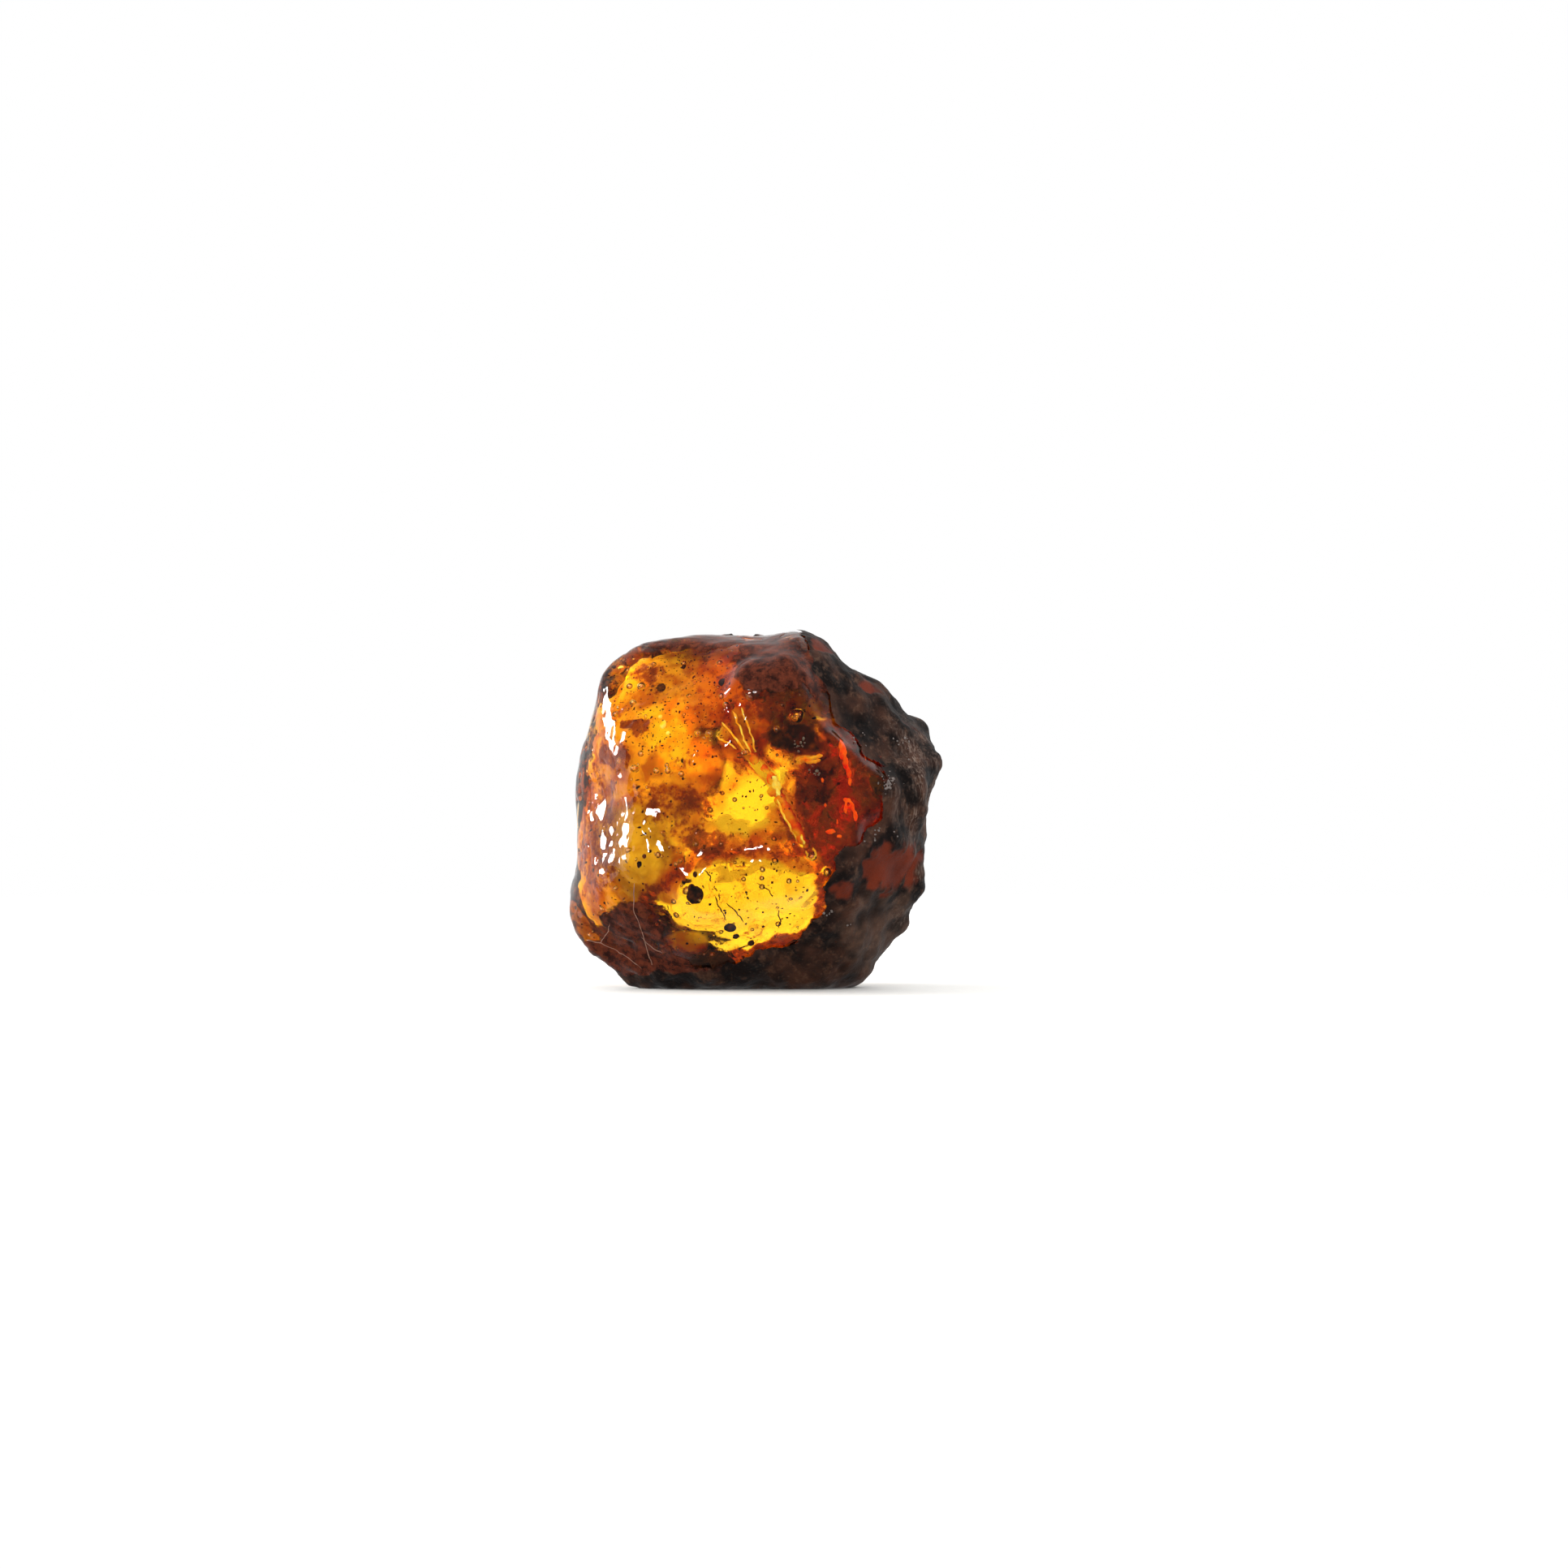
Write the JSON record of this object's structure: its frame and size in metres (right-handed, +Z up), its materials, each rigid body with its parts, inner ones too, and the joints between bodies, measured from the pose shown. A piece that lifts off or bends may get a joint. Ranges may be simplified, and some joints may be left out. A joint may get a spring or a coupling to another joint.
{
  "type": "raw amber nugget",
  "caption": "Rounded, blocky lump of raw amber with a see-through glossy side and a dark, rough, knobbly crust, resting on a worn flat.",
  "frame": {"origin": "on the surface the nugget rests on, under the middle of its width and depth", "axes": "+Z up, -Y out of the broad glassy face, +X towards the rough crusted side, along the nugget's longest extent"},
  "size_m": [0.023, 0.0158, 0.022],
  "materials": {
    "amber": "natural fossil resin: glossy, wavy and see-through yellow to red-brown, under a dull dark brown weathered crust on the right side, the underside and most of the back"
  },
  "bodies": {
    "root": {"amber_nugget": "amber"}
  },
  "joints": []
}
